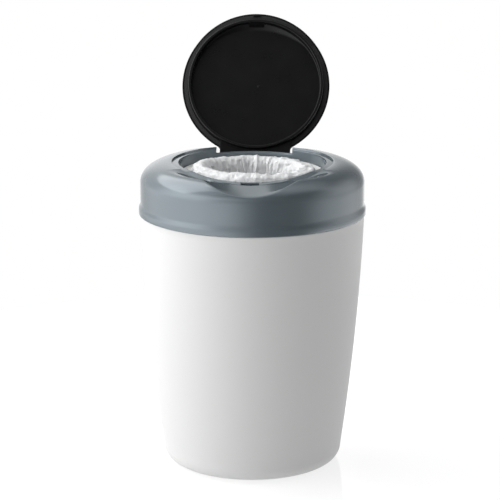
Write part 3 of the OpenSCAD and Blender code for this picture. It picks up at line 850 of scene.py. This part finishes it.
# %% [markdown]
# ## The film
# The film is drawn from the ring, folded over the core and pushed down to make a bag with a knot
# under it. It is far wider than the ring, so it gathers: sharp pleats run down the inner side, the
# crest is puffed and uneven, and some of it slumps outwards over the cover. A cloth simulation gives
# soft round folds, not the sharp ones of thin polythene, so the folds here come from ridged noise.
# Its value turns sharply at each crest, as a crease does. The net has rows along the film and
# columns round it. The path is the middle line of the film from under the cover, up over the crest,
# down the inner side, which leans inwards, and on to the knot and its tail.

# %% Film path round the ring
FILM_COLUMNS = 560
FILM_ROUND_R = 60
bearing = np.arange(FILM_COLUMNS) * 360 / FILM_COLUMNS
ahead_x, ahead_y = np.sin(np.radians(bearing)), -np.cos(np.radians(bearing))


def around(table):
    """A value for every column from (degrees, value) pairs; 0 is the front and 90 the right side."""
    at, values = zip(*table)
    coarse = np.interp(bearing, at, values, period=360)
    window = np.hanning(41) / np.hanning(41).sum()
    return np.convolve(np.concatenate([coarse[-20:], coarse, coarse[:20]]), window, "valid")


crest = around([(-150, 354.0), (-100, 356.0), (-60, 357.0), (-15, 357.4), (10, 357.0), (32, 355.4),
                (70, 353.8), (110, 353.4), (150, 353.4), (180, 353.6)])
slump = around([(-150, 2.0), (-95, 4.5), (-50, 6.0), (0, 6.5), (50, 7.0), (90, 7.5), (120, 5.0), (165, 1.5)])
roll = around([(-150, 1.0), (-60, 2.0), (-10, 3.0), (25, 5.5), (60, 6.5), (100, 3.0), (150, 1.0)])
corners = [
    (64.2, 336), (64.2, 341), (64.2, 346.6), (64.6 + 0.06 * slump, 348.1), (64.8 + 0.75 * slump, 348.5),
    (65.0 + slump, 349.6), (64.4 + 0.8 * slump, 0.5 * crest + 175.6), (62.6 + 0.35 * slump, crest - 1.1),
    (60.4, crest), (58.2 - 0.4 * roll, crest - 0.9), (56.2 - 0.6 * roll, crest - 3.4 - 0.4 * roll),
    (54.0 - 0.4 * roll, crest - 9), (51.2 - 0.15 * roll, crest - 17), (49.0, crest - 30), (49.0, 305),
    (49.5, 285), (49.5, 266), (44, 243), (30, 224), (14, 213), (8.6, 207), (7, 201), (4.6, 197), (7, 190),
    (12, 178.6)]
path = np.array([[np.broadcast_to(v, FILM_COLUMNS) for v in corner] for corner in corners], float)


def along(at):
    """Position (r, z) of every column at a place along the path, on a curve through its corners."""
    i = int(min(at, len(path) - 1.001))
    t = at - i
    p0, p1, p2, p3 = (path[min(max(i + k, 0), len(path) - 1)] for k in (-1, 0, 1, 2))
    return 0.5 * (2 * p1 + (p2 - p0) * t + (2 * p0 - 5 * p1 + 4 * p2 - p3) * t ** 2
                  + (3 * p1 - p0 - 3 * p2 + p3) * t ** 3)


places = np.concatenate([[0, 1, 1.7, 2.0, 2.4, 2.8], np.linspace(3, 13, 46), np.linspace(13.25, 24, 26)])
film_r, film_z = np.array([along(p) for p in places]).transpose(1, 0, 2)
length = np.zeros(film_r.shape)
length[1:] = np.cumsum(np.hypot(np.diff(film_r, axis=0), np.diff(film_z, axis=0)), axis=0)
print("film path", round(float(length[-1].mean())), "mm long,", len(places), "rows")

# %% Ridged folds
def ridge(scale, tall, seed, octaves):
    """Ridged noise over the net, with crests at 1: folds of the size scale, tall times longer along it."""
    sideways = [np.broadcast_to(FILM_ROUND_R * way, length.shape) / scale for way in (ahead_x, ahead_y)]
    points = np.stack(sideways + [length / (scale * tall)], -1).reshape(-1, 3)
    total, weight, size, share = np.zeros(len(points)), 0.0, 1.0, 1.0
    for octave in range(octaves):
        shift = Vector((seed * 7.31 + octave * 3.7, seed * 1.77, seed * 4.13))
        values = np.array([noise.noise(Vector(p) * size + shift) for p in points])
        total += share * (1 - 2.6 * np.abs(values))
        weight += share
        size, share = size * 2.1, share * 0.55
    return (total / weight).reshape(length.shape)


def off_fold(middle):
    """Distance of each column from a long fold, in millimetres round the ring."""
    return np.abs((bearing - middle + 180) % 360 - 180) * FILM_ROUND_R * pi / 180


pleat = ridge(8, 9, 1, 2)
crumple = ridge(11, 1, 2, 4)
puff = ridge(27, 1, 3, 2)
print("folds between", round(float(crumple.min()), 2), "and", round(float(crumple.max()), 2))

# %% [markdown]
# Each point of the film is pushed along its normal by the folds. The outer part is crumpled, the
# inner part is pleated, and the pushes fade as the bag narrows. Two long folds stand out: one in the
# front and one in the back. Last, limits keep the film above the cover, inside the opening and below
# the shut lid.

# %% Film mesh
FILM_TOP = 358.6
COVER_TOP = 348.0
place = places[:, None]
outer_part = smooth((place - 3.0) / 1.5) * (1 - smooth((place - 10) / 3))
inner_part = smooth((place - 8.5) / 3)
bag = np.clip(film_r / 56, 0.2, 1)
along_r, along_z = np.gradient(film_r, axis=0), np.gradient(film_z, axis=0)
stride = np.hypot(along_r, along_z)
front_fold = 1.6 * np.maximum(0, 1 - off_fold(5) / 4.0) * smooth((place - 4) / 2) * (1 - inner_part)
back_fold = 4.0 * np.maximum(0, 1 - off_fold(176.5) / 3.5) * smooth((place - 7) / 2) * bag
long_fold = front_fold + back_fold
push = (outer_part * (1.7 * crumple + 1.5 * puff - 0.6)
        + inner_part * bag * (-2.6 * pleat + 1.3 * puff + 0.9 * crumple + 1.4))
push = push * (0.35 + 0.65 * smooth((slump + 1) / 5) * (1 - inner_part) + 0.65 * inner_part)
radius = film_r + along_z / stride * push - inner_part * long_fold
height = film_z - along_r / stride * push + (1 - inner_part) * long_fold * 0.6
height = np.minimum(height, FILM_TOP)
height = np.where(radius > 64.9, np.maximum(height, COVER_TOP), height)
radius = np.where(height < COVER_TOP - 0.2, np.minimum(radius, 64.4), np.minimum(radius, 73.0))
rings = [np.stack([r * ahead_x, r * ahead_y, z], 1) for r, z in zip(radius, height)]
points, faces = net(rings, False)
film = make_piece("film_bag", points, faces, film_white, 180)
thin = film.modifiers.new("film_thickness", "SOLIDIFY")
thin.thickness = 0.3 * MM
thin.offset = 0
area = sum(p.area for p in film.data.polygons)
print("film area", round(area, 4), "square metres, crest up to", round(float(height.max()), 1))
finish_piece(film, "cassette", "film", "film_sleeve")

# %% [markdown]
# ## The pieces that keep their shape
# The seals, pins, screws, blade and clips are already right in the frame, so they only get their
# real finish.

# %% Finishes for the frame's own pieces
own_finish = {
    "tub_seal": black_rubber, "lid_seal": black_rubber, "cassette_well": slate_gloss,
    "latch_catch": natural_acetal, "film_cutter_guard": natural_acetal, "film_cutter_blade": blade_steel,
    "cutter_screws": screw_steel, "well_screws": screw_steel, "hinge_pin_left": pin_steel,
    "hinge_pin_right": pin_steel, "cassette_body": matt_white, "film_pack": film_white,
}
for name, material in own_finish.items():
    for spot in nodes[name].material_slots:
        spot.material = material
print("finished", len(own_finish), "frame pieces")

# %% [markdown]
# ## Floor and light
# The bin stands on a sheet of white acrylic that is lit from below, so the floor burns out to white
# and keeps a faint reflection of the bin. The studio round it is drawn on the world as soft white
# panels: a broad one at the left, a weaker one at the right and a dark gap right of the middle. One
# softbox with crisp edges hangs high at the left, and gives the head its bright patch. Lamps could do
# the same, but a table of strengths by direction is easier to tune, lights the tall tub evenly and
# makes less noise. The camera sees plain white.

# %% Floor
FLOOR_R = 0.75
FLOOR_GLOW = 0.655
floor_mesh = bpy.data.meshes.new("floor")
work = bmesh.new()
bmesh.ops.create_circle(work, cap_ends=True, segments=96, radius=FLOOR_R)
work.to_mesh(floor_mesh)
work.free()
floor = bpy.data.objects.new("floor", floor_mesh)
floor.location.z = -0.2 * MM
bpy.context.scene.collection.objects.link(floor)
acrylic = bpy.data.materials.new("acrylic_sheet_lit_white")
acrylic.use_nodes = True
shader = acrylic.node_tree.nodes["Principled BSDF"]
shader.inputs["Base Color"].default_value = linear("#9C9C9C")
shader.inputs["Roughness"].default_value = 0.08
shader.inputs["IOR"].default_value = 1.49
shader.inputs["Emission Color"].default_value = (1, 1, 1, 1)
shader.inputs["Emission Strength"].default_value = FLOOR_GLOW
floor_mesh.materials.append(acrylic)

# %% Studio panels
# each row is a height above the horizon in degrees, with strengths every 15 degrees round the bin,
# from straight behind it over the left, the front and the right
STUDIO = [
    (-25, [1.4, 1.0, 0.7, 0.4, 0.5, 1.1, 2.0, 2.7, 3.0, 2.9, 2.5, 1.6,
           0.6, 0, 0, 0, 0.9, 2.3, 3.1, 3.1, 2.9, 2.6, 2.0, 1.6]),
    (-10, [1.4, 0.9, 0.8, 1.1, 1.8, 2.2, 2.4, 2.5, 2.6, 2.4, 2.1, 1.4,
           0.45, 0, 0, 0.1, 0.4, 0.9, 1.2, 1.3, 1.2, 0.8, 0.6, 1.3]),
    (8, [1.3, 1.3, 0.9, 0.9, 1.2, 2.3, 3.2, 3.7, 3.5, 2.6, 1.5, 0.9,
         0.3, 0, 0, 0.1, 0.3, 0.8, 1.3, 1.6, 1.4, 0.8, 0.4, 0.4]),
    (25, [1.2, 1.2, 1.1, 1.2, 1.4, 2.3, 3.2, 3.8, 3.6, 2.8, 2.0, 1.3,
          0.6, 0.1, 0, 0, 0.1, 0.5, 1.0, 1.4, 1.2, 0.9, 0.3, 0.2]),
    (42, [0.8, 1.0, 1.3, 1.3, 1.7, 2.2, 2.2, 1.9, 1.6, 1.1, 0.5, 0.3,
          0.1, 0, 0, 0, 0, 0.1, 0.5, 0.9, 0.5, 0.3, 0.1, 0.1]),
    (60, [0.7, 0.8, 1.1, 1.3, 1.5, 1.4, 1.0, 1.0, 1.0, 0.7, 0.5, 0.5,
          0.5, 0.5, 0.5, 0.6, 0.7, 0.8, 0.9, 0.9, 0.9, 0.8, 0.6, 0.5]),
    (90, [1.5] * 24),
]
STUDIO_MOST = max(max(row) for _, row in STUDIO)
SOFTBOX_ROUND = (-162, -152, -82, -70)
SOFTBOX_UP = (26, 30, 62, 70)
SOFTBOX_POWER = 2.2


def band(tree, angle, edges):
    """1 between the two inner edges and 0 beyond the outer ones, in degrees, as a socket."""
    start, full, fade, end = map(radians, edges)
    rises = add(tree, "ShaderNodeMapRange", interpolation_type="SMOOTHSTEP",
                sockets={"Value": angle, "From Min": start, "From Max": full})
    falls = add(tree, "ShaderNodeMapRange", interpolation_type="SMOOTHSTEP",
                sockets={"Value": angle, "From Min": fade, "From Max": end, "To Min": 1.0, "To Max": 0.0})
    return calc(tree, "MULTIPLY", rises.outputs[0], falls.outputs[0])


world = bpy.data.worlds.new("white_studio")
bpy.context.scene.world = world
world.use_nodes = True
tree = world.node_tree
tree.nodes.clear()
way = add(tree, "ShaderNodeTexCoord").outputs["Generated"]
axes = add(tree, "ShaderNodeSeparateXYZ", sockets={"Vector": way})
turn = calc(tree, "ARCTAN2", axes.outputs["X"], calc(tree, "MULTIPLY", axes.outputs["Y"], -1.0))
share = add(tree, "ShaderNodeMapRange", sockets={"Value": turn, "From Min": -pi, "From Max": pi})
rise = calc(tree, "ARCSINE", axes.outputs["Z"])
blend = None
for level, (height, row) in enumerate(STUDIO):
    curve = add(tree, "ShaderNodeFloatCurve", sockets={"Value": share.outputs[0]})
    line = curve.mapping.curves[0]
    line.points[0].location = (0, row[0] / STUDIO_MOST)
    line.points[-1].location = (1, row[0] / STUDIO_MOST)
    for i, strength in enumerate(row[1:], 1):
        line.points.new(i / 24, strength / STUDIO_MOST)
    curve.mapping.update()
    if blend is None:
        blend = curve.outputs[0]
        continue
    below = STUDIO[level - 1][0]
    part = add(tree, "ShaderNodeMapRange",
               sockets={"Value": rise, "From Min": radians(below), "From Max": radians(height)})
    blend = add(tree, "ShaderNodeMix", data_type="FLOAT",
                sockets={0: part.outputs[0], 2: blend, 3: curve.outputs[0]}).outputs[0]
panels = calc(tree, "MULTIPLY", blend, STUDIO_MOST)
softbox = calc(tree, "MULTIPLY", band(tree, turn, SOFTBOX_ROUND), band(tree, rise, SOFTBOX_UP))
power = calc(tree, "MULTIPLY_ADD", softbox, SOFTBOX_POWER, panels)
studio = add(tree, "ShaderNodeBackground", sockets={"Color": (1, 1, 1, 1), "Strength": power})
white = add(tree, "ShaderNodeBackground", sockets={"Color": (1, 1, 1, 1), "Strength": 1.0})
seen = add(tree, "ShaderNodeLightPath").outputs["Is Camera Ray"]
both = add(tree, "ShaderNodeMixShader", sockets={0: seen, 1: studio.outputs[0], 2: white.outputs[0]})
out = add(tree, "ShaderNodeOutputWorld")
tree.links.new(both.outputs[0], out.inputs["Surface"])
bpy.context.scene.view_settings.view_transform = "Standard"
print("studio rows:", len(STUDIO), "brightest", STUDIO_MOST)
